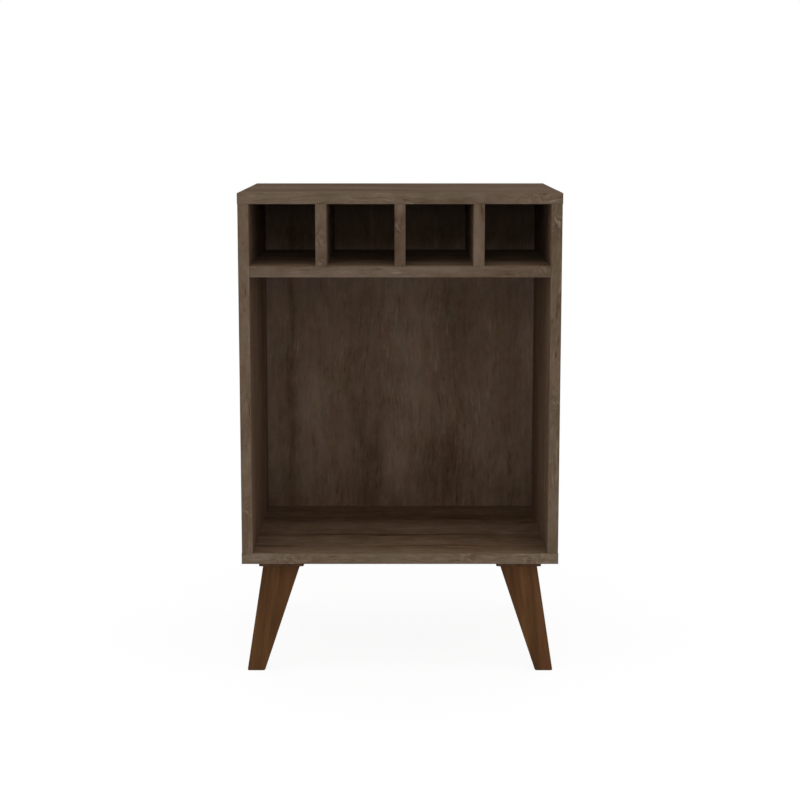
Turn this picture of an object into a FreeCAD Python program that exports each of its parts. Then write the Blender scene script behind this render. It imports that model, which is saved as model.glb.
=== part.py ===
import FreeCAD, Part
import math
import os

# A small open case with a row of bottle bays over one compartment, on four splayed legs.
# Millimetres, +Z up. The open front faces -Y. The origin lies on the floor under the middle of the case.

# Case
case_width = 440.0
case_depth = 350.0
board_thickness = 15.0
side_setback = 0.5
bay_height = 84.0
compartment_height = 384.0
divider_count = 3
divider_pitch = 107.0

# Back panel, held in grooves in the top, the bottom and the sides
back_recess = 35.0
back_thickness = 3.0
groove_depth = 6.0
groove_clearance = 0.1
groove_end_clearance = 0.5
back_contact_clearance = 0.2

# Edge bands
band_thickness = 1.0
band_bevel = 0.6
bevel_share = 0.8
edge_angle_tolerance = 0.01

# Legs and the blocks that carry them
leg_height = 146.0
leg_top_width = 52.0
leg_foot_width = 24.5
leg_splay_degrees = 13.7
leg_edge_rounding = 2.0
leg_rounding_flats = 4
foot_chamfer = 1.0
block_width = 63.0
block_thickness = 9.0
block_inset = 22.0
block_corner_chamfer = 2.0
block_edge_chamfer = 0.8

# Fittings: they repeat, so they and their holes are turned with few flat sides, to keep the model light
fitting_sides = 8
disc_sides = 12
tip_share = 0.2
fit_clearance = 0.05
hole_floor = 4.0
hole_relief = 0.5

# Lines of fittings, measured from the front edge and from the back panel
fitting_inset = 50.0
dowel_offset = 32.0

# Dowels
dowel_radius = 4.0
dowel_edge_depth = 20.0
dowel_chamfer = 1.0

# Cam fittings: a turning housing, a bolt with a collared head, and a cover cap
cam_radius = 7.5
cam_floor = 2.2
cam_setback = 24.0
cam_core_radius = 2.8
cam_wall = 1.0
cam_channel_sweep = 200.0
cam_channel_sides = 8
cam_locked_turn = 110.0
cam_cross_length = 9.0
cam_cross_width = 2.0
cam_cross_depth = 2.4
cam_bolt_thread_radius = 2.5
cam_bolt_collar_radius = 3.6
cam_bolt_collar_length = 1.5
cam_bolt_shank_radius = 3.0
cam_bolt_neck_radius = 1.5
cam_bolt_head_radius = 2.5
cam_bolt_head_length = 2.3
cam_bolt_head_gap = 0.8
cam_bore_radius = 4.0
cam_running_clearance = 0.2
cap_radius = 8.5
cap_thickness = 1.2
cap_edge_chamfer = 0.6

# One-piece connector screws
connector_grip = 35.0
connector_head_radius = 5.0
connector_head_height = 3.5
connector_neck_radius = 3.5
connector_core_radius = 2.5
connector_tip_length = 4.0
connector_sink = 0.3
connector_hex_flats = 4.0
connector_hex_depth = 3.0

# Countersunk screws that hold the blocks
block_screw_offset = 21.0
block_screw_head_radius = 3.9
block_screw_head_height = 2.3
block_screw_shank_radius = 2.0
block_screw_core_radius = 1.5
block_screw_tip_length = 3.0
block_screw_sink = 0.2
groove_margin = 2.0

# Hanger bolts and pronged tee nuts
hanger_radius = 4.0
hanger_wood_radius = 3.2
hanger_wood_depth = 38.0
hanger_tip_length = 5.0
hanger_room = 1.5
tee_flange_radius = 11.0
tee_flange_thickness = 1.5
tee_barrel_radius = 5.2
tee_barrel_gap = 1.0
tee_prong_count = 4
tee_prong_width = 3.0
tee_prong_thickness = 1.2
tee_prong_length = 4.5
tee_prong_circle = 8.6

# Pins through the back panel into the shelf
pin_count = 4
pin_radius = 0.8
pin_head_radius = 1.6
pin_head_thickness = 0.8
pin_grip = 18.0
pin_tip_length = 1.6

# Levels and faces that follow from the sizes above
front_y = -case_depth / 2
rear_y = case_depth / 2
case_z = leg_height + block_thickness
floor_z = case_z + board_thickness
shelf_z = floor_z + compartment_height
bay_z = shelf_z + board_thickness
top_z = bay_z + bay_height
case_top_z = top_z + board_thickness
side_outer_x = case_width / 2 - side_setback
side_inner_x = side_outer_x - board_thickness
side_middle_x = side_outer_x - board_thickness / 2
back_y = rear_y - back_recess - back_thickness
shelf_rear_y = back_y - back_contact_clearance
shelf_middle_z = shelf_z + board_thickness / 2
divider_xs = [(index - (divider_count - 1) / 2) * divider_pitch for index in range(divider_count)]
fitting_ys = [front_y + fitting_inset, back_y - fitting_inset]
dowel_ys = [fitting_ys[0] + dowel_offset, fitting_ys[1] - dowel_offset]
face_hole_depth = board_thickness - hole_floor
underside_hole_depth = board_thickness - groove_depth - groove_margin
leg_x = case_width / 2 - block_inset - block_width / 2
leg_y = case_depth / 2 - block_inset - block_width / 2

nodes = {}
fittings = {}
cuts = {}


def vector(x, y, z):
    return FreeCAD.Vector(x, y, z)


def box_between(low, high):
    size = high - low
    return Part.makeBox(size.x, size.y, size.z, low)


def polar(radius, degrees, height):
    turn = math.radians(degrees)
    return vector(radius * math.cos(turn), radius * math.sin(turn), height)


def flat_face(corners):
    return Part.Face(Part.makePolygon(corners + corners[:1]))


def flat_sided(outlines):
    """A solid with flat faces through outlines that have the same number of corners, from the lowest up."""
    loops = [outlines[0][::-1], outlines[-1]]
    for lower, upper in zip(outlines, outlines[1:]):
        for index in range(len(lower)):
            after = (index + 1) % len(lower)
            loops.append([lower[index], lower[after], upper[after], upper[index]])
    return Part.Solid(Part.Shell([flat_face(loop) for loop in loops]))


def turned(profile, start, direction, sides=fitting_sides):
    """Turn (distance, radius) pairs about an axis that leaves start in the given direction."""
    outlines = []
    for distance, radius in profile:
        outlines.append([polar(radius, 360 / sides * index, distance) for index in range(sides)])
    solid = flat_sided(outlines)
    solid.Placement = FreeCAD.Placement(start, FreeCAD.Rotation(vector(0, 0, 1), direction))
    return solid


def rod(start, direction, radius, length, sides=fitting_sides):
    return turned([(0, radius), (length, radius)], start, direction, sides)


def cross_bars(length, width, low_z, high_z):
    """Two bars that cross on the Z axis, between two levels."""
    bar = box_between(vector(-length / 2, -width / 2, low_z), vector(length / 2, width / 2, high_z))
    across = bar.copy()
    across.rotate(vector(0, 0, 0), vector(0, 0, 1), 90)
    return bar.fuse(across)


def placed(shape, place):
    moved = shape.copy()
    moved.Placement = place.multiply(moved.Placement)
    return moved


def add_fitting(node, solid):
    fittings.setdefault(node, []).append(solid)


def drill(node, cutter):
    cuts.setdefault(node, []).append(cutter)


# Boards

def board(node, low, high):
    """Keep a rectangular board; its holes and grooves are cut when every fitting is placed."""
    nodes[node] = box_between(low, high)


def edge_band(node, low, high, outward, free_ends):
    """A thin strip on a board's edge, with the arrises of its outer face bevelled."""
    strip = box_between(low, high)
    size = high - low
    long_axis = max((vector(1, 0, 0), vector(0, 1, 0), vector(0, 0, 1)), key=lambda axis: size.dot(axis))
    outer_face = max(strip.Faces, key=lambda face: face.CenterOfMass.dot(outward))
    arrises = []
    for edge in outer_face.Edges:
        runs_along = edge.tangentAt(edge.FirstParameter).cross(long_axis).Length < edge_angle_tolerance
        if free_ends or runs_along:
            arrises.append(edge)
    bevel = min(band_bevel, bevel_share * band_thickness)
    nodes[node] = strip.makeChamfer(bevel, arrises)


def full_width_board(name, low_z):
    """The top or the bottom: a board that covers the sides' ends, banded on all four edges."""
    high_z = low_z + board_thickness
    end_x = case_width / 2
    core_x = end_x - band_thickness
    core_front = front_y + band_thickness
    core_rear = rear_y - band_thickness
    board(name + "_panel", vector(-core_x, core_front, low_z), vector(core_x, core_rear, high_z))
    front_low = vector(-end_x, front_y, low_z)
    edge_band(name + "_front_band", front_low, vector(end_x, core_front, high_z), vector(0, -1, 0), True)
    rear_low = vector(-end_x, core_rear, low_z)
    edge_band(name + "_rear_band", rear_low, vector(end_x, rear_y, high_z), vector(0, 1, 0), True)
    left_low = vector(-end_x, core_front, low_z)
    edge_band(name + "_left_band", left_low, vector(-core_x, core_rear, high_z), vector(-1, 0, 0), False)
    right_low = vector(core_x, core_front, low_z)
    edge_band(name + "_right_band", right_low, vector(end_x, core_rear, high_z), vector(1, 0, 0), False)


def side_board(name, low_x):
    """A side stands on the bottom and carries the top, banded at the front and the rear."""
    high_x = low_x + board_thickness
    core_front = front_y + band_thickness
    core_rear = rear_y - band_thickness
    board(name + "_panel", vector(low_x, core_front, floor_z), vector(high_x, core_rear, top_z))
    front_low = vector(low_x, front_y, floor_z)
    edge_band(name + "_front_band", front_low, vector(high_x, core_front, top_z), vector(0, -1, 0), False)
    rear_low = vector(low_x, core_rear, floor_z)
    edge_band(name + "_rear_band", rear_low, vector(high_x, rear_y, top_z), vector(0, 1, 0), False)


def inner_board(name, low_x, high_x, low_z, high_z):
    """The shelf or a divider: it runs from its front band to the back panel."""
    core_front = front_y + band_thickness
    board(name, vector(low_x, core_front, low_z), vector(high_x, shelf_rear_y, high_z))
    band_low = vector(low_x, front_y, low_z)
    edge_band(name + "_band", band_low, vector(high_x, core_front, high_z), vector(0, -1, 0), False)


def back_board():
    """The thin back panel and the grooves that it slides into."""
    reach_x = side_inner_x + groove_depth - groove_end_clearance
    low_z = floor_z - groove_depth + groove_end_clearance
    high_z = top_z + groove_depth - groove_end_clearance
    rear = back_y + back_thickness
    board("back_panel", vector(-reach_x, back_y, low_z), vector(reach_x, rear, high_z))
    groove_front = back_y - groove_clearance
    groove_rear = rear + groove_clearance
    run_x = case_width
    low = vector(-run_x, groove_front, floor_z - groove_depth)
    drill("bottom_panel", box_between(low, vector(run_x, groove_rear, floor_z + groove_depth)))
    low = vector(-run_x, groove_front, top_z - groove_depth)
    drill("top_panel", box_between(low, vector(run_x, groove_rear, top_z + groove_depth)))
    groove_x = side_inner_x + groove_depth
    low = vector(-groove_x, groove_front, case_z)
    across_both_sides = box_between(low, vector(groove_x, groove_rear, case_top_z))
    drill("left_side_panel", across_both_sides)
    drill("right_side_panel", across_both_sides)


# Fittings

def add_dowel(node, joint, direction, face_board, edge_board):
    """A glued dowel across a joint; direction points out of the edge board into the face board."""
    face_length = face_hole_depth - hole_relief
    edge_length = dowel_edge_depth - hole_relief
    profile = [
        (-edge_length, dowel_radius - dowel_chamfer),
        (-edge_length + dowel_chamfer, dowel_radius),
        (face_length - dowel_chamfer, dowel_radius),
        (face_length, dowel_radius - dowel_chamfer),
    ]
    add_fitting(node, turned(profile, joint, direction))
    hole_radius = dowel_radius + fit_clearance
    drill(face_board, rod(joint, direction, hole_radius, face_hole_depth))
    drill(edge_board, rod(joint, direction * -1, hole_radius, dowel_edge_depth))


def cam_housing(body_depth, axis_depth):
    """The cam: a drum with a channel for the bolt's head, a slot for its neck and one way in."""
    drum_radius = cam_radius - fit_clearance
    drum = rod(vector(0, 0, -body_depth), vector(0, 0, 1), drum_radius, body_depth, disc_sides)
    head_half = cam_bolt_head_radius + cam_running_clearance
    neck_half = cam_bolt_neck_radius + cam_running_clearance
    channel_outer = drum_radius - cam_wall
    entry = -cam_locked_turn

    def part_ring(inner, outer, half_height):
        """A ring about the drum's axis that starts at the way in and ends past the locked place."""
        floor = -axis_depth - half_height
        step = cam_channel_sweep / cam_channel_sides
        turns = [entry + step * index for index in range(cam_channel_sides + 1)]
        outside = [polar(outer, turn, floor) for turn in turns]
        inside = [polar(inner, turn, floor) for turn in turns]
        return flat_face(outside + inside[::-1]).extrude(vector(0, 0, 2 * half_height))

    channel = part_ring(cam_core_radius, channel_outer, head_half)
    slot = part_ring(channel_outer - cam_wall, cam_radius + cam_wall, neck_half)
    way_in = rod(vector(cam_core_radius, 0, -axis_depth), vector(1, 0, 0), head_half, cam_radius)
    way_in.rotate(vector(0, 0, 0), vector(0, 0, 1), entry)
    recess = cross_bars(cam_cross_length, cam_cross_width, -cam_cross_depth, cam_cross_depth)
    return drum.cut([channel, slot, way_in, recess])


def cam_bolt(axis_depth):
    """The bolt: its thread bites in the face board and its head sits behind the cam's wall."""
    head_start = cam_radius - cam_wall - cam_bolt_head_gap
    neck_start = cam_radius + cam_running_clearance
    thread_end = cam_setback + face_hole_depth - hole_relief
    collar_end = cam_setback - cam_bolt_collar_length
    profile = [
        (head_start - cam_bolt_head_length, cam_bolt_head_radius),
        (head_start, cam_bolt_head_radius),
        (head_start, cam_bolt_neck_radius),
        (neck_start, cam_bolt_neck_radius),
        (neck_start, cam_bolt_shank_radius),
        (collar_end, cam_bolt_shank_radius),
        (collar_end, cam_bolt_collar_radius),
        (cam_setback, cam_bolt_collar_radius),
        (cam_setback, cam_bolt_thread_radius),
        (thread_end, cam_bolt_thread_radius),
    ]
    return turned(profile, vector(0, 0, -axis_depth), vector(1, 0, 0))


def cam_cap():
    """The cover cap: a thin disc whose peg presses into the cam's cross."""
    chamfer = min(cap_edge_chamfer, bevel_share * cap_thickness)
    profile = [
        (0, cap_radius),
        (cap_thickness - chamfer, cap_radius),
        (cap_thickness, cap_radius - chamfer),
    ]
    disc = turned(profile, vector(0, 0, 0), vector(0, 0, 1), disc_sides)
    peg_depth = cam_cross_depth - hole_relief
    peg_slack = 2 * fit_clearance
    peg = cross_bars(cam_cross_length - peg_slack, cam_cross_width - peg_slack, -peg_depth, 0)
    return disc.fuse(peg).removeSplitter()


def add_cam_fitting(prefix, centre, outward, towards_joint, cam_board, face_board):
    """Pull an edge joint shut; the cam lies in cam_board's face, its bolt bites in face_board."""
    across = outward.cross(towards_joint)
    place = FreeCAD.Placement(centre, FreeCAD.Rotation(towards_joint, across, outward, "ZXY"))
    axis_depth = board_thickness / 2
    pocket_depth = board_thickness - cam_floor
    body_depth = pocket_depth - fit_clearance
    add_fitting(prefix + "_cam_housings", placed(cam_housing(body_depth, axis_depth), place))
    add_fitting(prefix + "_cam_bolts", placed(cam_bolt(axis_depth), place))
    add_fitting(prefix + "_cam_caps", placed(cam_cap(), place))
    axis_start = vector(0, 0, -axis_depth)
    pocket = rod(vector(0, 0, -pocket_depth), vector(0, 0, 1), cam_radius, pocket_depth, disc_sides)
    bore = rod(axis_start, vector(1, 0, 0), cam_bore_radius, cam_setback)
    drill(cam_board, placed(pocket.fuse(bore), place))
    joint = vector(cam_setback, 0, -axis_depth)
    thread_hole = rod(joint, vector(1, 0, 0), cam_bolt_thread_radius + fit_clearance, face_hole_depth)
    drill(face_board, placed(thread_hole, place))


def add_connector(node, head_face, direction, through_board, end_board):
    """A connector screw with a hexagon socket, sunk in one board's face and biting in another's end."""
    length = board_thickness + connector_grip
    neck_end = board_thickness - hole_relief
    head_end = connector_sink + connector_head_height
    profile = [
        (connector_sink, connector_head_radius),
        (head_end, connector_neck_radius),
        (neck_end, connector_neck_radius),
        (neck_end, connector_core_radius),
        (length - connector_tip_length, connector_core_radius),
        (length, tip_share * connector_core_radius),
    ]
    hexagon_radius = connector_hex_flats / math.sqrt(3)
    socket = rod(head_face, direction, hexagon_radius, connector_sink + connector_hex_depth, sides=6)
    add_fitting(node, turned(profile, head_face, direction).cut(socket))
    sunk_profile = [
        (-hole_relief, connector_head_radius + fit_clearance),
        (connector_sink, connector_head_radius + fit_clearance),
        (head_end, connector_neck_radius + fit_clearance),
        (board_thickness + hole_relief, connector_neck_radius + fit_clearance),
    ]
    drill(through_board, turned(sunk_profile, head_face, direction))
    end_face = head_face + direction * board_thickness
    pilot_length = connector_grip + hole_relief
    drill(end_board, rod(end_face, direction, connector_core_radius + fit_clearance, pilot_length))


def add_back_pin(x):
    """A panel pin through the back panel into the middle of the shelf's rear edge."""
    inward = vector(0, -1, 0)
    head_seat = vector(x, back_y + back_thickness, shelf_middle_z)
    reach = back_thickness + pin_grip
    profile = [
        (-pin_head_thickness, pin_head_radius),
        (0, pin_head_radius),
        (0, pin_radius),
        (reach - pin_tip_length, pin_radius),
        (reach, tip_share * pin_radius),
    ]
    add_fitting("back_panel_pins", turned(profile, head_seat, inward))
    hole = rod(head_seat, inward, pin_radius + fit_clearance, reach + hole_relief)
    drill("back_panel", hole)
    drill("bottle_shelf", hole)


# Legs

def rounded_square(centre, width, rounding):
    """The outline of a square whose corners are rounded over by a few short flats."""
    half = width / 2 - rounding
    outline = []
    for corner, (x_sign, y_sign) in enumerate(((1, 1), (-1, 1), (-1, -1), (1, -1))):
        middle = centre + vector(x_sign * half, y_sign * half, 0)
        for step in range(leg_rounding_flats + 1):
            outline.append(middle + polar(rounding, 90 * (corner + step / leg_rounding_flats), 0))
    return outline


def add_leg(name, x_sign, y_sign):
    """A square tapered leg that splays outwards both ways, its ends cut level and its foot chamfered."""
    run = leg_height * math.tan(math.radians(leg_splay_degrees))
    top_centre = vector(x_sign * leg_x, y_sign * leg_y, leg_height)
    foot_centre = vector(x_sign * (leg_x + run), y_sign * (leg_y + run), 0)
    chamfer_share = foot_chamfer / leg_height
    ankle_centre = foot_centre + (top_centre - foot_centre) * chamfer_share
    ankle_width = leg_foot_width + (leg_top_width - leg_foot_width) * chamfer_share
    sole_width = leg_foot_width - 2 * foot_chamfer
    sole_rounding = leg_edge_rounding * sole_width / leg_foot_width
    nodes[name] = flat_sided([
        rounded_square(foot_centre, sole_width, sole_rounding),
        rounded_square(ankle_centre, ankle_width, leg_edge_rounding),
        rounded_square(top_centre, leg_top_width, leg_edge_rounding),
    ])


def tee_nut(seat, barrel_length):
    """A flanged, threaded barrel whose prongs bite down into the block."""
    down = vector(0, 0, -1)
    flange = rod(seat, down, tee_flange_radius, tee_flange_thickness, disc_sides)
    barrel = rod(seat, down, tee_barrel_radius, barrel_length)
    body = flange.fuse(barrel)
    for prong in tee_prongs(seat, 0):
        body = body.fuse(prong)
    bore = rod(seat + vector(0, 0, hole_relief), down, hanger_radius + fit_clearance, block_thickness)
    return body.cut(bore).removeSplitter()


def tee_prongs(seat, slack):
    """The pointed prongs under the flange, or with slack the pockets that they press out."""
    half_width = tee_prong_width / 2 + slack
    half_thickness = tee_prong_thickness / 2 + slack
    root = seat + vector(0, 0, -tee_flange_thickness)
    tip_z = root.z - tee_prong_length - slack
    prongs = []
    for index in range(tee_prong_count):
        inner = seat.x + tee_prong_circle - half_thickness
        corners = [
            vector(inner, seat.y - half_width, root.z),
            vector(inner, seat.y + half_width, root.z),
            vector(inner, seat.y, tip_z),
        ]
        prong = flat_face(corners).extrude(vector(2 * half_thickness, 0, 0))
        prong.rotate(seat, vector(0, 0, 1), 360 / tee_prong_count * (index + 0.5))
        prongs.append(prong)
    return prongs


def add_hanger_bolt(leg_name, centre):
    """A bolt with a wood thread down in the leg and a machine thread up through the tee nut."""
    up = vector(0, 0, 1)
    upper_reach = block_thickness + underside_hole_depth - hanger_room
    profile = [
        (-hanger_wood_depth, tip_share * hanger_wood_radius),
        (-hanger_wood_depth + hanger_tip_length, hanger_wood_radius),
        (0, hanger_wood_radius),
        (0, hanger_radius),
        (upper_reach, hanger_radius),
    ]
    add_fitting("leg_hanger_bolts", turned(profile, centre, up))
    pilot_length = hanger_wood_depth + hole_relief
    drill(leg_name, rod(centre, up * -1, hanger_wood_radius + fit_clearance, pilot_length))
    room_radius = hanger_radius + hanger_room
    under_panel = centre + vector(0, 0, block_thickness)
    drill("bottom_panel", rod(under_panel, up, room_radius, underside_hole_depth))


def add_block_screw(block_name, head_face):
    """A countersunk screw up through a block into the bottom panel."""
    up = vector(0, 0, 1)
    length = block_thickness + underside_hole_depth - hole_relief
    head_end = block_screw_sink + block_screw_head_height
    profile = [
        (block_screw_sink, block_screw_head_radius),
        (head_end, block_screw_shank_radius),
        (block_thickness - hole_relief, block_screw_shank_radius),
        (block_thickness - hole_relief, block_screw_core_radius),
        (length - block_screw_tip_length, block_screw_core_radius),
        (length, tip_share * block_screw_core_radius),
    ]
    add_fitting("leg_block_screws", turned(profile, head_face, up))
    sunk_profile = [
        (-hole_relief, block_screw_head_radius + fit_clearance),
        (block_screw_sink, block_screw_head_radius + fit_clearance),
        (head_end, block_screw_shank_radius + fit_clearance),
        (block_thickness + hole_relief, block_screw_shank_radius + fit_clearance),
    ]
    drill(block_name, turned(sunk_profile, head_face, up))
    panel_face = head_face + up * block_thickness
    pilot_radius = block_screw_core_radius + fit_clearance
    drill("bottom_panel", rod(panel_face, up, pilot_radius, underside_hole_depth))


def add_leg_block(name, leg_name, x_sign, y_sign):
    """The block between a leg and the bottom panel, with its tee nut, hanger bolt and screws."""
    centre = vector(x_sign * leg_x, y_sign * leg_y, leg_height)
    half = vector(block_width / 2, block_width / 2, 0)
    block = box_between(centre - half, centre + half + vector(0, 0, block_thickness))
    upright = [edge for edge in block.Edges if edge.BoundBox.ZLength > block_thickness / 2]
    block = block.makeChamfer(block_corner_chamfer, upright)
    lower = [edge for edge in block.Edges if edge.BoundBox.ZMax < leg_height + block_thickness / 2]
    nodes[name] = block.makeChamfer(block_edge_chamfer, lower)
    up = vector(0, 0, 1)
    seat = centre + up * block_thickness
    barrel_length = block_thickness - tee_barrel_gap
    add_fitting("leg_tee_nuts", tee_nut(seat, barrel_length))
    flange_pocket_radius = tee_flange_radius + fit_clearance
    pocket_depth = tee_flange_thickness + fit_clearance
    drill(name, rod(seat, up * -1, flange_pocket_radius, pocket_depth, disc_sides))
    drill(name, rod(seat, up * -1, tee_barrel_radius + fit_clearance, block_thickness))
    for pocket in tee_prongs(seat, fit_clearance):
        drill(name, pocket)
    add_hanger_bolt(leg_name, centre)
    across_corners = vector(x_sign * block_screw_offset, -y_sign * block_screw_offset, 0)
    for head_face in (centre - across_corners, centre + across_corners):
        add_block_screw(name, head_face)


# Assembly

full_width_board("top", top_z)
full_width_board("bottom", case_z)
side_board("left_side", -side_outer_x)
side_board("right_side", side_inner_x)
inner_board("bottle_shelf", -side_inner_x, side_inner_x, shelf_z, bay_z)
for index, x in enumerate(divider_xs):
    low_x = x - board_thickness / 2
    inner_board(f"divider_{index + 1}", low_x, low_x + board_thickness, bay_z, top_z)
back_board()

up = vector(0, 0, 1)
down = vector(0, 0, -1)
for side_name, x_sign in (("left_side_panel", -1), ("right_side_panel", 1)):
    inward = vector(-x_sign, 0, 0)
    outward = vector(x_sign, 0, 0)
    for y in fitting_ys:
        cam_centre = vector(x_sign * side_inner_x, y, top_z - cam_setback)
        add_cam_fitting("top", cam_centre, inward, up, side_name, "top_panel")
        cam_centre = vector(x_sign * (side_inner_x - cam_setback), y, shelf_z)
        add_cam_fitting("shelf", cam_centre, down, outward, "bottle_shelf", side_name)
        head_face = vector(x_sign * side_middle_x, y, case_z)
        add_connector("bottom_connectors", head_face, up, "bottom_panel", side_name)
    for y in dowel_ys:
        joint = vector(x_sign * side_middle_x, y, top_z)
        add_dowel("top_dowels", joint, up, "top_panel", side_name)
        joint = vector(x_sign * side_inner_x, y, shelf_middle_z)
        add_dowel("shelf_dowels", joint, outward, side_name, "bottle_shelf")
        joint = vector(x_sign * side_middle_x, y, floor_z)
        add_dowel("bottom_dowels", joint, down, "bottom_panel", side_name)

for index, x in enumerate(divider_xs):
    divider_name = f"divider_{index + 1}"
    for y in fitting_ys:
        add_connector("divider_connectors", vector(x, y, shelf_z), up, "bottle_shelf", divider_name)
    for y in dowel_ys:
        add_dowel("divider_dowels", vector(x, y, top_z), up, "top_panel", divider_name)

for index in range(pin_count):
    add_back_pin((index + 0.5 - pin_count / 2) * 2 * side_inner_x / pin_count)

for depth_name, y_sign in (("front", -1), ("rear", 1)):
    for width_name, x_sign in (("left", -1), ("right", 1)):
        corner = f"{depth_name}_{width_name}"
        add_leg(f"{corner}_leg", x_sign, y_sign)
        add_leg_block(f"{corner}_leg_block", f"{corner}_leg", x_sign, y_sign)

for node, cutters in cuts.items():
    nodes[node] = nodes[node].cut(cutters)
for node, solids in fittings.items():
    nodes[node] = Part.makeCompound(solids)

os.makedirs("parts", exist_ok=True)
for node, shape in nodes.items():
    shape.exportStep(f"parts/{node}.step")
    print(node, len(shape.Solids), round(shape.Volume), shape.isValid())
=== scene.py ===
import math
from collections import namedtuple

import bpy
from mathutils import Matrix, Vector


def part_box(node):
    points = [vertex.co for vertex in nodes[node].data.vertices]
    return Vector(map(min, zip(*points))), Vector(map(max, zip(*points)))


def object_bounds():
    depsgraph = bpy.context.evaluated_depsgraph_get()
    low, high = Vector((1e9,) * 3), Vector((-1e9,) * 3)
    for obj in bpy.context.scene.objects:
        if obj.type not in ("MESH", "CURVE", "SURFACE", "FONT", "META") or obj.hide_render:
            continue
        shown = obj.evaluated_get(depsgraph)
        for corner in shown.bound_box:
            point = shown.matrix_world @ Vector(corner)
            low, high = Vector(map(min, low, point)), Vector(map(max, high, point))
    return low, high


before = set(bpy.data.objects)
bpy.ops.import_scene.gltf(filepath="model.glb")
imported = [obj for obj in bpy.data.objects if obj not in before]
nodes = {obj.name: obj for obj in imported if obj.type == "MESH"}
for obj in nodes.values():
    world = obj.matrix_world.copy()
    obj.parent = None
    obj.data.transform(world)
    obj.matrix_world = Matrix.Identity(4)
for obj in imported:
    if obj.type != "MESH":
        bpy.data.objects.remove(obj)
cad_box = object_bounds()
piece_order = sorted(nodes)

# Camera: metres, degrees and pixels, set from the photograph's edges and corners.
CAMERA_DISTANCE = 2.463
CAMERA_HEIGHT = 0.772
CAMERA_PITCH = 8.91
FOCAL_PIXELS = 1819.5
IMAGE_PIXELS = 800
SENSOR_WIDTH = 36.0

# Light: an even dome, a softbox above the front and a wide fill over the camera.
DOME_STRENGTH = 0.81
SOFTBOX_PLACE = (0.0, -1.8, 2.3)
SOFTBOX_SIZE = (5.0, 2.0)
SOFTBOX_RADIANCE = 0.185
FILL_PLACE = (0.0, -2.75, 1.0)
FILL_SIZE = (1.6, 0.6)
FILL_RADIANCE = 4.5
LAMP_TARGET = (0.0, 0.0, 0.35)
FLOOR_HALF_SIZE = 9.0
FLOOR_ALBEDO = 0.82
FLOOR_SHADOW_SHARE = 0.12

# A layer of noise: waves per metre along and across the grain, detail, roughness, seed and weight.
Layer = namedtuple("Layer", "along across detail roughness seed weight", defaults=[1.0])
NOISE_MEAN = 0.5

# Each piece takes its own part of the patterns, this far from the next, with these shares by axis.
SEED_STEP = 7.3
SEED_SHARES = (1.0, 1.7, 2.3)

# Figure of the printed oak.
WANDER = Layer(3.0, 9.0, 2.0, 0.5, 0.0, 0.03)
TONE = Layer(2.5, 16.0, 2.0, 0.5, 3.1, 0.5)
MOTTLE = Layer(16.0, 50.0, 4.0, 0.72, 5.7, 0.48)
STREAK = Layer(13.0, 130.0, 3.0, 0.6, 9.2, 0.27)
DASH = Layer(26.0, 330.0, 1.0, 0.5, 8.8, 0.14)
CLUSTER = Layer(7.0, 24.0, 1.0, 0.5, 4.9)
PORE = Layer(70.0, 900.0, 1.0, 0.5, 1.4, -0.12)
CRACK = Layer(5.0, 80.0, 2.0, 0.5, 2.6)
RUFFLE = Layer(70.0, 90.0, 2.0, 0.5, 6.3, 0.02)
SWIRL = Layer(90.0, 260.0, 3.0, 0.6, 4.4, 0.25)
HUE = Layer(12.0, 40.0, 2.0, 0.6, 7.9, 0.15)

# Where each begins to show in its noise and where it is full, with its strength there if not 0 and 1.
DASH_LIMITS = (0.1, 0.25)
PORE_LIMITS = (0.1, 0.24)
CRACK_LIMITS = (0.14, 0.22)
CLUSTER_LIMITS = (-0.08, 0.14)
CLUSTER_STRENGTH = (0.3, 1.6)
SWIRL_LIMITS = (-0.04, 0.18)
SWIRL_STRENGTH = (-0.3, 1.0)

# Roughness of the oak from dark to light streaks, and its relief in metres with each layer's share.
STREAK_LIMITS = (-0.2, 0.2)
OAK_ROUGHNESS = (0.9, 0.78)
OAK_RELIEF = 0.00015
STREAK_HEIGHT = 0.6
MOTTLE_HEIGHT = 0.4
PORE_HEIGHT = -0.5

# Edge strips have a shorter and finer figure than boards.
STRIP_SHORTENING = 1.6
STRIP_FINENESS = 1.3
STRIP_TONE = TONE._replace(along=STRIP_SHORTENING * TONE.along)

# Bare hardboard behind the back panel.
FIBRE = Layer(420.0, 420.0, 3.0, 0.7, 1.0)
FIBRE_LIMITS = (0.3, 0.7)

# Solid wood of the legs, their blocks and the dowels.
WOOD_TONE = Layer(6.0, 75.0, 2.0, 0.5, 0.0, 1.3)
WOOD_STREAK = Layer(22.0, 300.0, 3.0, 0.6, 4.0, 0.5)
WOOD_PORE = Layer(60.0, 1500.0, 1.0, 0.5, 8.0, -0.2)
WOOD_HUE = Layer(9.0, 45.0, 1.0, 0.5, 6.0, 0.22)
WOOD_PORE_LIMITS = (0.1, 0.25)
WOOD_ROUGHNESS = (0.6, 0.48)
WOOD_RELIEF = 0.0001
WOOD_STREAK_HEIGHT = 0.5
BLOCK_SEED = 71.0
DOWEL_SEED = 83.0

# How far a leg leans on each axis per metre of height, and the share of it that the grain follows.
LEG_SPLAY = 0.244
LEG_GRAIN_SHARE = 0.45

# Cloudy tone and fine speckle of metal and plastic fittings.
CLOUD = Layer(180.0, 180.0, 3.0, 0.5, 2.0)
CLOUD_LIMITS = (-0.15, 0.15)
SPECK = Layer(1500.0, 1500.0, 2.0, 0.5, 5.0)
SPECK_LIMITS = (-0.2, 0.2)
SPECK_ROUGHNESS = 0.07
SPECK_RELIEF = 0.00005


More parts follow.
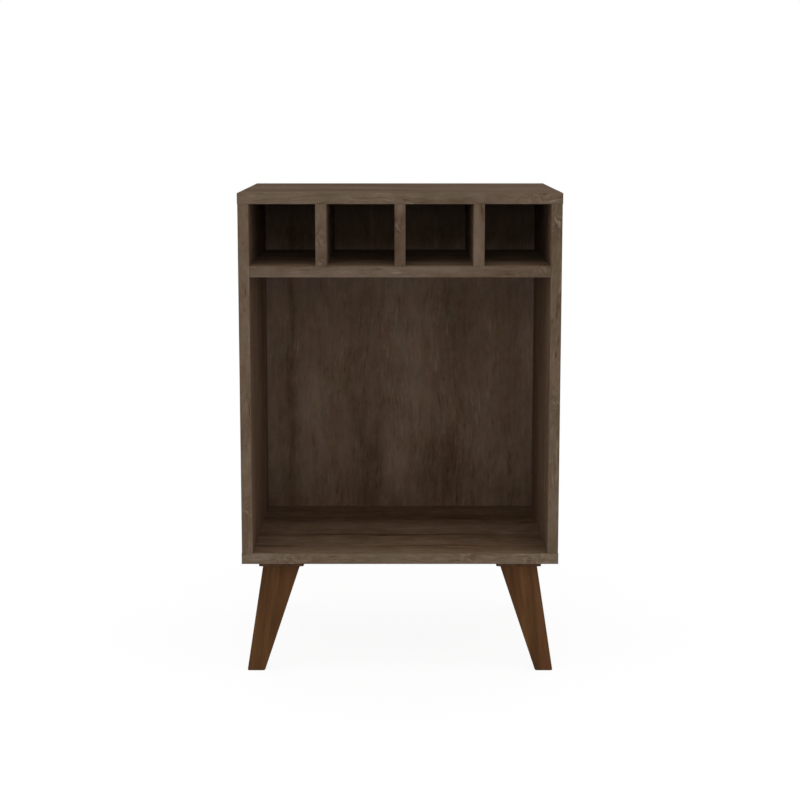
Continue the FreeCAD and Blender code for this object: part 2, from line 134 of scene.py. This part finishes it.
def colour(red, green, blue):
    """An sRGB screen colour, 0 to 255, as the linear colour that a shader takes."""
    channels = []
    for value in (red, green, blue):
        share = value / 255
        channels.append(share / 12.92 if share <= 0.04045 else ((share + 0.055) / 1.055) ** 2.4)
    return (*channels, 1.0)


def grey(level):
    """A linear grey."""
    return (level, level, level, 1.0)


WHITE = grey(1.0)

# The oak's mean screen colour, and its ramp as shares of a piece's mean, from its darkest to its lightest.
OAK = (97, 82, 68)
OAK_GLOSS = 0.005
RAMP_MIDDLE = 0.5
OAK_STOPS = (
    (0.0, (0.55, 0.48, 0.42)),
    (0.3, (0.81, 0.77, 0.72)),
    (RAMP_MIDDLE, (1.00, 1.00, 1.00)),
    (0.7, (1.16, 1.19, 1.25)),
    (1.0, (1.38, 1.46, 1.58)),
)

# Dark and light fibres of the bare hardboard.
HARDBOARD = (colour(120, 92, 66), colour(150, 118, 86))

# Solid woods: a dark, a middle and a light shade, and the gloss.
Wood = namedtuple("Wood", "shades gloss")
WOOD_STOPS = (0.1, RAMP_MIDDLE, 0.9)
LEG = Wood((colour(60, 37, 18), colour(80, 52, 28), colour(97, 66, 39)), 0.06)
BLOCK = Wood((colour(60, 38, 20), colour(79, 53, 34), colour(93, 66, 44)), 0.1)
BEECH = Wood((colour(176, 140, 100), colour(196, 160, 120), colour(210, 178, 140)), 0.2)

# Finishes of the fittings: a dark and a light shade, roughness, metal and gloss.
Finish = namedtuple("Finish", "dark light roughness metallic gloss")
ZINC = Finish(colour(150, 152, 155), colour(176, 178, 180), 0.45, 1.0, 0.5)
STEEL = Finish(colour(180, 180, 176), colour(205, 206, 204), 0.3, 1.0, 0.5)
PLASTIC = Finish(colour(76, 61, 49), colour(84, 68, 55), 0.6, 0.0, 0.1)

# A colour Mix node's sockets go by number, because its sockets for plain numbers have the same names.
MIX_SHARE = 0
MIX_FIRST = 6
MIX_SECOND = 7
MIX_RESULT = 2


class Shader:
    """The nodes of a material or of the world."""

    def __init__(self, owner):
        owner.use_nodes = True
        self.owner = owner
        self.tree = owner.node_tree
        self.tree.nodes.clear()

    def add(self, kind, inputs, **settings):
        """A new node. Each input is a constant or the output of another node."""
        node = self.tree.nodes.new("ShaderNode" + kind)
        for key, value in settings.items():
            setattr(node, key, value)
        for key, value in inputs.items():
            if isinstance(value, bpy.types.NodeSocket):
                self.tree.links.new(value, node.inputs[key])
            else:
                node.inputs[key].default_value = value
        return node

    def output(self, kind, inputs, **settings):
        """The first output of a new node."""
        return self.add(kind, inputs, **settings).outputs[0]

    def math(self, operation, *values):
        return self.output("Math", dict(enumerate(values)), operation=operation)

    def vector(self, operation, *values):
        return self.output("VectorMath", dict(enumerate(values)), operation=operation)

    def join(self, x, y, z):
        return self.output("CombineXYZ", {"X": x, "Y": y, "Z": z})

    def where(self):
        """Where a point is in the object's own frame."""
        return self.add("TexCoord", {}).outputs["Object"]

    def place(self):
        """Where a point is in the object's own frame, as its three parts by axis."""
        return dict(zip("XYZ", self.add("SeparateXYZ", {"Vector": self.where()}).outputs))

    def noise(self, where, layer, seed=0.0):
        """The outputs of a layer's noise, whose mean is a half."""
        scale = (layer.along, layer.across, layer.across)
        offset = [share * (seed + layer.seed) for share in SEED_SHARES]
        stretched = self.vector("MULTIPLY_ADD", where, scale, offset)
        inputs = {"Vector": stretched, "Scale": 1.0, "Detail": layer.detail, "Roughness": layer.roughness}
        return self.add("TexNoise", inputs).outputs

    def wave(self, where, layer, seed=0.0):
        """A layer's noise about zero."""
        return self.math("SUBTRACT", self.noise(where, layer, seed)["Fac"], NOISE_MEAN)

    def remap(self, value, limits, results=(0.0, 1.0), kind="LINEAR"):
        """The value with its limits taken to the results, and held at them outside the limits."""
        inputs = {
            "Value": value,
            "From Min": limits[0],
            "From Max": limits[1],
            "To Min": results[0],
            "To Max": results[1],
        }
        return self.add("MapRange", inputs, interpolation_type=kind).outputs["Result"]

    def ramp(self, value, stops):
        """The colour at a value between stops, each a position and a colour."""
        node = self.add("ValToRGB", {"Fac": value})
        elements = node.color_ramp.elements
        while len(elements) < len(stops):
            elements.new(RAMP_MIDDLE)
        for element, (position, shade) in zip(elements, stops):
            element.position = position
            element.color = shade
        return node.outputs["Color"]

    def blend(self, share, first, second):
        """A colour between the first, at a share of 0, and the second."""
        inputs = {MIX_SHARE: share, MIX_FIRST: first, MIX_SECOND: second}
        return self.add("Mix", inputs, data_type="RGBA").outputs[MIX_RESULT]

    def sum(self, start, *terms):
        """start plus each (weight, value) pair."""
        total = start
        for weight, value in terms:
            total = self.math("MULTIPLY_ADD", value, weight, total)
        return total

    def vary(self, shade, where, layer, seed, amount):
        """The shade with each of its channels changed by noise of its own."""
        mixed = self.noise(where, layer, seed)["Color"]
        tint = self.vector("MULTIPLY_ADD", mixed, (amount,) * 3, (1.0 - amount * NOISE_MEAN,) * 3)
        return self.vector("MULTIPLY", shade, tint)

    def seen(self):
        """1 for camera, glossy and transmission rays, and 0 for the others."""
        rays = self.add("LightPath", {}).outputs
        outer = self.math("MAXIMUM", rays["Is Camera Ray"], rays["Is Glossy Ray"])
        return self.math("MAXIMUM", outer, rays["Is Transmission Ray"])

    def surface(self, shade, roughness, height, relief, gloss, metallic=0.0):
        """Ends the material with a principled shader whose relief is in metres per unit of height."""
        inputs = {
            "Base Color": shade,
            "Roughness": roughness,
            "Normal": self.output("Bump", {"Height": height, "Distance": relief, "Strength": 1.0}),
            "Specular IOR Level": gloss,
            "Metallic": metallic,
        }
        self.add("OutputMaterial", {"Surface": self.output("BsdfPrincipled", inputs)})
        return self.owner


def material_shader(name):
    """The empty nodes of a new material."""
    return Shader(bpy.data.materials.new(name))


def piece_seed(node):
    """Where a piece's own part of the patterns begins."""
    return SEED_STEP * piece_order.index(node)


# Spots on a piece, in metres along and across its grain: curls tilt the grain, and marks change its tone,
# some as print and some as painted light and shade.
CURL_WIDTH = 0.008
CURL_SLOPE = 0.5
Curl = namedtuple("Curl", "along across length width slope", defaults=[CURL_WIDTH, CURL_SLOPE])
Mark = namedtuple("Mark", "along across length width amount")

# What sets a piece apart from plain oak.
# Painted light: the dividers and side panels take lighter shades than the plain oak, making up for the shade
# inside the bays and the compartment.
divider_painted_light_look = {"shade": (118, 100, 82)}
side_painted_light_look = {"shade": (108, 87, 70), "contrast": 0.75, "fine": 1.2}
oak_options = {
    # Painted light: the top and the shelf take lighter shades than the plain oak, the top for the light its
    # upper face misses and the shelf for the shade in the bays.
    "top_panel": {"shade": (101, 83, 68), "cracks": 0.2},
    "bottle_shelf": {"shade": (127, 105, 86), "cracks": 0.2},
    "divider_1": divider_painted_light_look,
    "divider_2": divider_painted_light_look,
    "divider_3": divider_painted_light_look,
    "left_side_panel": side_painted_light_look,
    "right_side_panel": side_painted_light_look,
    "bottom_panel": {
        # Painted light: a lighter shade than the plain oak, making up for the shade on the floor inside the
        # case.
        "shade": (109, 88, 69),
        "hue": 0.22,
        "fine": 0.35,
        "shorten": 1.8,
        "cracks": 0.3,
        "marks": [
            # Dark seams along the floor.
            Mark(0.0, -0.058, 0.18, 0.005, -0.3),
            Mark(-0.19, -0.129, 0.04, 0.004, -0.3),
            Mark(0.05, -0.129, 0.12, 0.004, -0.25),
            # Painted shade at the darker rear by the back panel, painted light at the paler front, and a
            # pale patch between.
            Mark(0.0, 0.08, 0.5, 0.07, -0.14),
            Mark(0.0, -0.165, 0.5, 0.03, 0.06),
            Mark(0.03, -0.06, 0.03, 0.1, 0.05),
        ],
    },
    "back_panel": {
        "shade": (99, 81, 66),
        "contrast": 0.9,
        "hue": 0.22,
        "fine": 0.7,
        "shorten": 1.6,
        "marks": [
            # Dark streaks and a pale patch near the left edge.
            Mark(0.50, -0.166, 0.12, 0.005, -0.16),
            Mark(0.30, -0.166, 0.10, 0.007, -0.12),
            Mark(0.34, -0.136, 0.04, 0.02, 0.14),
            # Pale and dark patches about the middle.
            Mark(0.42, 0.01, 0.14, 0.04, 0.06),
            Mark(0.24, 0.06, 0.05, 0.035, -0.2),
            Mark(0.22, -0.047, 0.06, 0.02, -0.16),
            Mark(0.24, -0.005, 0.05, 0.02, 0.14),
            # Level bands of painted light and shade: painted light under the shelf where its shadow falls, a
            # darker band low behind the bays, painted light high behind them, and painted shade just above
            # the floor.
            Mark(0.54, 0.0, 0.03, 0.5, 0.26),
            Mark(0.588, 0.0, 0.02, 0.5, -0.14),
            Mark(0.64, 0.0, 0.03, 0.5, 0.16),
            Mark(0.17, 0.0, 0.045, 0.5, -0.1),
            # Painted light along both edges, where the side panels shade the back, and a dark patch beside
            # the right one.
            Mark(0.42, 0.2, 0.16, 0.03, 0.14),
            Mark(0.46, 0.09, 0.08, 0.04, -0.14),
            Mark(0.35, -0.2, 0.2, 0.02, 0.05),
        ],
    },
    "top_front_band": {"curls": [Curl(0.184, 0.661, 0.018)]},
    "bottle_shelf_band": {"shade": (93, 78, 65), "curls": [Curl(0.187, 0.562, 0.018)]},
    "bottom_front_band": {
        "shade": (102, 87, 72),
        "contrast": 0.85,
        "fine": 1.0,
        "curls": [
            Curl(-0.155, 0.162, 0.026),
            Curl(0.097, 0.163, 0.014, slope=-0.5),
            Curl(0.190, 0.163, 0.026),
        ],
    },
    "divider_1_band": {
        "shade": (94, 79, 65),
        "curls": [Curl(0.602, -0.107, 0.012), Curl(0.577, -0.107, 0.008)],
    },
    "divider_2_band": {
        "shade": (81, 65, 52),
        "curls": [Curl(0.620, 0.0, 0.012, slope=0.7)],
        "marks": [
            Mark(0.648, 0.001, 0.012, 0.008, 0.35),
            Mark(0.632, -0.005, 0.006, 0.003, -0.25),
            Mark(0.624, 0.001, 0.004, 0.003, 0.3),
            Mark(0.595, 0.001, 0.012, 0.005, -0.12),
        ],
    },
    "divider_3_band": {"shade": (94, 79, 65)},
    "left_side_front_band": {"shade": (98, 82, 68), "curls": [Curl(0.230, -0.212, 0.016)]},
    "right_side_front_band": {
        "shade": (96, 81, 66),
        "curls": [Curl(0.628, 0.212, 0.014), Curl(0.382, 0.212, 0.018)],
    },
}


def bell(shader, along, across, spot):
    """1 at the middle of a spot, fading to 0 around it."""
    far = shader.math("DIVIDE", shader.math("SUBTRACT", along, spot.along), spot.length)
    wide = shader.math("DIVIDE", shader.math("SUBTRACT", across, spot.across), spot.width)
    square = shader.math("MULTIPLY_ADD", far, far, shader.math("MULTIPLY", wide, wide))
    return shader.math("EXPONENT", shader.math("MULTIPLY", square, -1.0))


def bend_grain(shader, along, across, straight, curls, seed):
    """The place across a grain that wanders and tilts in the curls, and how far a point is within a curl."""
    bent = shader.sum(across, (WANDER.weight, shader.wave(straight, WANDER, seed)))
    curled = 0.0
    for curl in curls:
        near = bell(shader, along, across, curl)
        offset = shader.math("SUBTRACT", along, curl.along)
        bent = shader.sum(bent, (curl.slope, shader.math("MULTIPLY", near, offset)))
        curled = shader.math("MAXIMUM", curled, near)
    if curls:
        ruffle = shader.wave(straight, RUFFLE, seed)
        bent = shader.sum(bent, (RUFFLE.weight, shader.math("MULTIPLY", ruffle, curled)))
    return bent, curled


def dashes(shader, grain, seed):
    """Short dashes in loose clusters, above 0 for light ones and below it for dark ones."""
    dash = shader.wave(grain, DASH, seed)
    light = shader.remap(dash, DASH_LIMITS, kind="SMOOTHSTEP")
    dark = shader.remap(dash, [-limit for limit in DASH_LIMITS], kind="SMOOTHSTEP")
    crowd = shader.remap(shader.wave(grain, CLUSTER, seed), CLUSTER_LIMITS, CLUSTER_STRENGTH)
    return shader.math("MULTIPLY", shader.math("SUBTRACT", light, dark), crowd)


def oak_stops(shade):
    """The ramp of oak shades about a mean shade."""
    stops = []
    for position, shares in OAK_STOPS:
        stops.append((position, colour(*(part * share for part, share in zip(shade, shares)))))
    return stops


def oak(
    shader, node, shade=OAK, contrast=1.0, hue=HUE.weight, fine=1.0, shorten=1.0, bands=TONE,
    cracks=0.0, curls=(), marks=(),
):
    """Printed rustic oak with the grain along the piece's longest side: its colour, roughness and height.

    contrast is the strength of its bands, mottle and streaks, and fine that of its dashes and pores.
    hue and cracks are the strength of its tints and cracks, and shorten squeezes it along the grain.
    """
    low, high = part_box(node)
    sides = dict(zip("XYZ", high - low))
    place = shader.place()
    through, across, along = (place[axis] for axis in sorted(sides, key=sides.get))
    seed = piece_seed(node)
    reach = shader.math("MULTIPLY", along, shorten)
    straight = shader.join(reach, across, through)
    bent, curled = bend_grain(shader, along, across, straight, curls, seed)
    grain = shader.join(reach, bent, through)
    tone = shader.wave(shader.join(along, bent, through), bands, seed)
    mottle = shader.wave(grain, MOTTLE, seed)
    streak = shader.wave(grain, STREAK, seed)
    pores = shader.remap(shader.wave(grain, PORE, seed), PORE_LIMITS)
    value = shader.sum(
        RAMP_MIDDLE,
        (contrast * bands.weight, tone),
        (contrast * MOTTLE.weight, mottle),
        (contrast * STREAK.weight, streak),
        (fine * DASH.weight, dashes(shader, grain, seed)),
        (fine * PORE.weight, pores),
    )
    if cracks:
        split = shader.remap(shader.wave(grain, CRACK, seed), CRACK_LIMITS, kind="SMOOTHSTEP")
        value = shader.sum(value, (-cracks, split))
    if curls:
        flecks = shader.remap(shader.wave(grain, SWIRL, seed), SWIRL_LIMITS, SWIRL_STRENGTH)
        value = shader.sum(value, (SWIRL.weight, shader.math("MULTIPLY", flecks, curled)))
    for mark in marks:
        value = shader.sum(value, (mark.amount, bell(shader, along, bent, mark)))
    tinted = shader.vary(shader.ramp(value, oak_stops(shade)), grain, HUE, seed, hue)
    roughness = shader.remap(streak, STREAK_LIMITS, OAK_ROUGHNESS)
    height = shader.sum(0.0, (STREAK_HEIGHT, streak), (MOTTLE_HEIGHT, mottle), (PORE_HEIGHT, pores))
    return tinted, roughness, height


def oak_board(node, **usual):
    """A board of printed oak, with the usual options where the piece has none of its own."""
    shader = material_shader(node + "_oak")
    options = {**usual, **oak_options.get(node, {})}
    return shader.surface(*oak(shader, node, **options), OAK_RELIEF, OAK_GLOSS)


def edge_strip(node):
    """A printed strip, whose figure is shorter and finer than a board's."""
    return oak_board(node, shorten=STRIP_SHORTENING, fine=STRIP_FINENESS, bands=STRIP_TONE)


def back_board(node):
    """Printed oak in front, and the bare fibres of hardboard behind."""
    shader = material_shader(node + "_oak")
    shade, roughness, height = oak(shader, node, **oak_options[node])
    low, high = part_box(node)
    fibres = shader.noise(shader.where(), FIBRE)["Fac"]
    bare = shader.blend(shader.remap(fibres, FIBRE_LIMITS), *HARDBOARD)
    behind = shader.math("GREATER_THAN", shader.place()["Y"], (low.y + high.y) / 2)
    mixed = shader.blend(behind, shade, bare)
    return shader.surface(mixed, roughness, height, OAK_RELIEF, OAK_GLOSS)


def solid_wood(name, wood, seed, lean=(0.0, 0.0)):
    """Solid wood whose grain runs along z and leans by lean, in x and y per metre of height."""
    shader = material_shader(name)
    place = shader.place()
    x = shader.math("MULTIPLY_ADD", place["Z"], -lean[0], place["X"])
    y = shader.math("MULTIPLY_ADD", place["Z"], -lean[1], place["Y"])
    grain = shader.join(place["Z"], x, y)
    tone = shader.wave(grain, WOOD_TONE, seed)
    streak = shader.wave(grain, WOOD_STREAK, seed)
    pores = shader.remap(shader.wave(grain, WOOD_PORE, seed), WOOD_PORE_LIMITS)
    value = shader.sum(
        RAMP_MIDDLE,
        (WOOD_TONE.weight, tone),
        (WOOD_STREAK.weight, streak),
        (WOOD_PORE.weight, pores),
    )
    shade = shader.ramp(value, list(zip(WOOD_STOPS, wood.shades)))
    tinted = shader.vary(shade, grain, WOOD_HUE, seed, WOOD_HUE.weight)
    roughness = shader.remap(streak, STREAK_LIMITS, WOOD_ROUGHNESS)
    height = shader.sum(0.0, (WOOD_STREAK_HEIGHT, streak), (PORE_HEIGHT, pores))
    return shader.surface(tinted, roughness, height, WOOD_RELIEF, wood.gloss)


def leg_wood(node):
    """A leg's stained wood, whose grain leans with the leg."""
    low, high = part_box(node)
    middle = (low + high) / 2
    lean = [-math.copysign(LEG_SPLAY * LEG_GRAIN_SHARE, part) for part in (middle.x, middle.y)]
    return solid_wood(node + "_walnut", LEG, piece_seed(node), lean)


def fitting(name, finish):
    """A plain finish with fine speckle, for metal and plastic fittings."""
    shader = material_shader(name)
    where = shader.where()
    cloud = shader.remap(shader.wave(where, CLOUD), CLOUD_LIMITS)
    mixed = shader.blend(cloud, finish.dark, finish.light)
    speck = shader.wave(where, SPECK)
    smoothest = finish.roughness - SPECK_ROUGHNESS
    roughest = finish.roughness + SPECK_ROUGHNESS
    roughness = shader.remap(speck, SPECK_LIMITS, (smoothest, roughest))
    return shader.surface(mixed, roughness, speck, SPECK_RELIEF, finish.gloss, finish.metallic)


# Materials by the CAD's slot names: one for all pieces of a slot, or one made for each piece.
shared = {
    "block_wood": solid_wood("stained_block", BLOCK, BLOCK_SEED),
    "dowel_wood": solid_wood("beech", BEECH, DOWEL_SEED),
    "cast_zinc": fitting("zinc", ZINC),
    "plated_steel": fitting("steel", STEEL),
    "cap_plastic": fitting("brown_plastic", PLASTIC),
}
own = {"decor_board": oak_board, "edge_band": edge_strip, "back_board": back_board, "leg_wood": leg_wood}
for node, piece in nodes.items():
    slot = piece.data.materials[0].name
    piece.data.materials[0] = shared[slot] if slot in shared else own[slot](node)


def add_object(name, data):
    """A new object in the scene."""
    item = bpy.data.objects.new(name, data)
    bpy.context.scene.collection.objects.link(item)
    return item


def floor_material():
    """White to the camera with a faint shadow, a pale grey to the light, and clear from below."""
    shader = material_shader("floor_white")
    bounce = shader.output("BsdfDiffuse", {"Color": grey(FLOOR_ALBEDO)})
    shadowed = shader.output("BsdfDiffuse", {"Color": grey(FLOOR_SHADOW_SHARE)})
    level = 1.0 - FLOOR_SHADOW_SHARE * DOME_STRENGTH
    glow = shader.output("Emission", {"Color": WHITE, "Strength": level})
    white = shader.output("AddShader", {0: shadowed, 1: glow})
    above = shader.output("MixShader", {0: shader.seen(), 1: bounce, 2: white})
    below = shader.output("BsdfTransparent", {})
    underside = shader.add("NewGeometry", {}).outputs["Backfacing"]
    either = shader.output("MixShader", {0: underside, 1: above, 2: below})
    shader.add("OutputMaterial", {"Surface": either})
    return shader.owner


def make_floor():
    """A plain square floor that faces up."""
    reach = FLOOR_HALF_SIZE
    corners = [(-reach, -reach, 0.0), (reach, -reach, 0.0), (reach, reach, 0.0), (-reach, reach, 0.0)]
    mesh = bpy.data.meshes.new("floor")
    mesh.from_pydata(corners, [], [(0, 1, 2, 3)])
    mesh.materials.append(floor_material())
    add_object("floor", mesh)


def make_dome():
    """An even white dome, plain white behind the object and in its reflections."""
    world = bpy.data.worlds.new("dome")
    shader = Shader(world)
    strength = shader.remap(shader.seen(), (0.0, 1.0), (DOME_STRENGTH, 1.0))
    background = shader.output("Background", {"Color": WHITE, "Strength": strength})
    shader.add("OutputWorld", {"Surface": background})
    bpy.context.scene.world = world


def make_lamp(name, place, size, radiance):
    """A rectangular lamp of that even brightness, aimed at the object and out of the camera's sight."""
    lamp = bpy.data.lights.new(name, "AREA")
    lamp.shape = "RECTANGLE"
    lamp.size, lamp.size_y = size
    lamp.energy = radiance * math.pi * math.prod(size)
    holder = add_object(name, lamp)
    holder.location = place
    holder.rotation_euler = (Vector(LAMP_TARGET) - Vector(place)).to_track_quat("-Z", "Y").to_euler()
    holder.visible_camera = False


def make_camera():
    """A camera straight in front of the object, looking down at it."""
    front = cad_box[0].y
    lens = bpy.data.cameras.new("camera")
    lens.sensor_width = SENSOR_WIDTH
    lens.lens = FOCAL_PIXELS * SENSOR_WIDTH / IMAGE_PIXELS
    camera = add_object("camera", lens)
    camera.location = (0.0, front - CAMERA_DISTANCE, CAMERA_HEIGHT)
    camera.rotation_euler = (math.radians(90.0 - CAMERA_PITCH), 0.0, 0.0)
    bpy.context.scene.camera = camera


make_floor()
make_dome()
make_lamp("softbox", SOFTBOX_PLACE, SOFTBOX_SIZE, SOFTBOX_RADIANCE)
make_lamp("fill", FILL_PLACE, FILL_SIZE, FILL_RADIANCE)
make_camera()
bpy.context.scene.view_settings.view_transform = "Standard"
